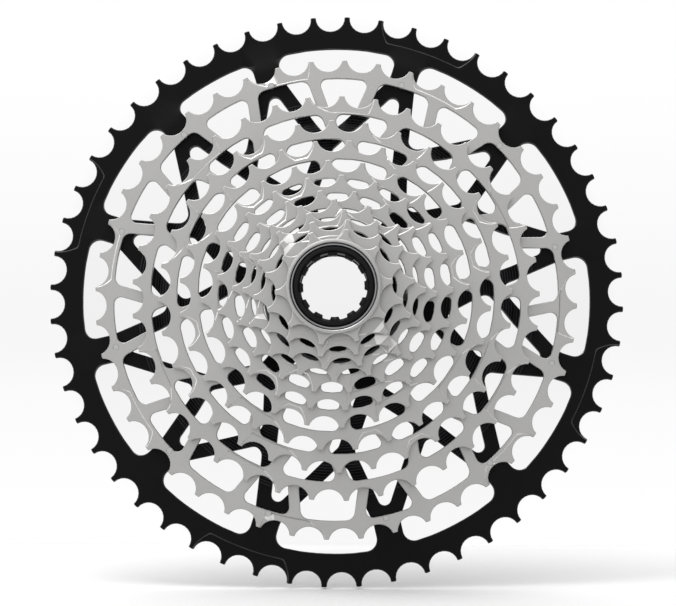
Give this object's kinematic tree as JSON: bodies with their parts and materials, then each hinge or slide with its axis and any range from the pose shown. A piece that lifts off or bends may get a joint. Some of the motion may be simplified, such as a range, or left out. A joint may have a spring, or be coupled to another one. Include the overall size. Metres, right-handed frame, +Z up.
{
  "type": "bicycle cassette sprocket",
  "caption": "Bicycle cassette: stepped silver steel sprockets in a hollow cone, pinned to a large black toothed spider, with a splined lock tube in the middle.",
  "frame": {"origin": "on the axis the sprockets turn about, at the rear face of the spider's hub where it seats on the freehub", "axes": "+Y along the axis towards the wheel's spokes, so the smallest sprocket faces -Y; +Z up"},
  "size_m": [0.2132, 0.0448, 0.2132],
  "materials": {
    "sprocket_steel": "matt nickel plate",
    "black_anodised": "black anodised",
    "black_tube": "black anodised",
    "spring_steel": "oiled",
    "washer_polymer": "plain",
    "pin_steel": "ground"
  },
  "bodies": {
    "cluster": {"sprocket_52t_spider": "black_anodised", "sprocket_44t": "sprocket_steel", "sprocket_37t": "sprocket_steel", "sprocket_32t": "sprocket_steel", "sprocket_28t": "sprocket_steel", "sprocket_24t": "sprocket_steel", "sprocket_21t": "sprocket_steel", "sprocket_18t": "sprocket_steel", "sprocket_16t": "sprocket_steel", "sprocket_14t": "sprocket_steel", "sprocket_12t": "sprocket_steel", "sprocket_10t": "sprocket_steel", "spider_pin_01": "pin_steel", "spider_pin_02": "pin_steel", "spider_pin_03": "pin_steel", "spider_pin_04": "pin_steel", "spider_pin_05": "pin_steel", "spider_pin_06": "pin_steel", "spider_pin_07": "pin_steel", "spider_pin_08": "pin_steel", "spider_pin_09": "pin_steel", "spider_pin_10": "pin_steel", "spider_pin_11": "pin_steel", "spider_pin_12": "pin_steel", "snap_ring": "spring_steel", "thrust_washer": "washer_polymer"},
    "lock_tube": {"lock_tube": "black_tube"}
  },
  "joints": [
    {"name": "lock_tube_spin", "type": "hinge", "parent": "cluster", "child": "lock_tube", "pos_m": [0, -0.0378, 0], "axis": [0, 1, 0], "continuous": true}
  ]
}
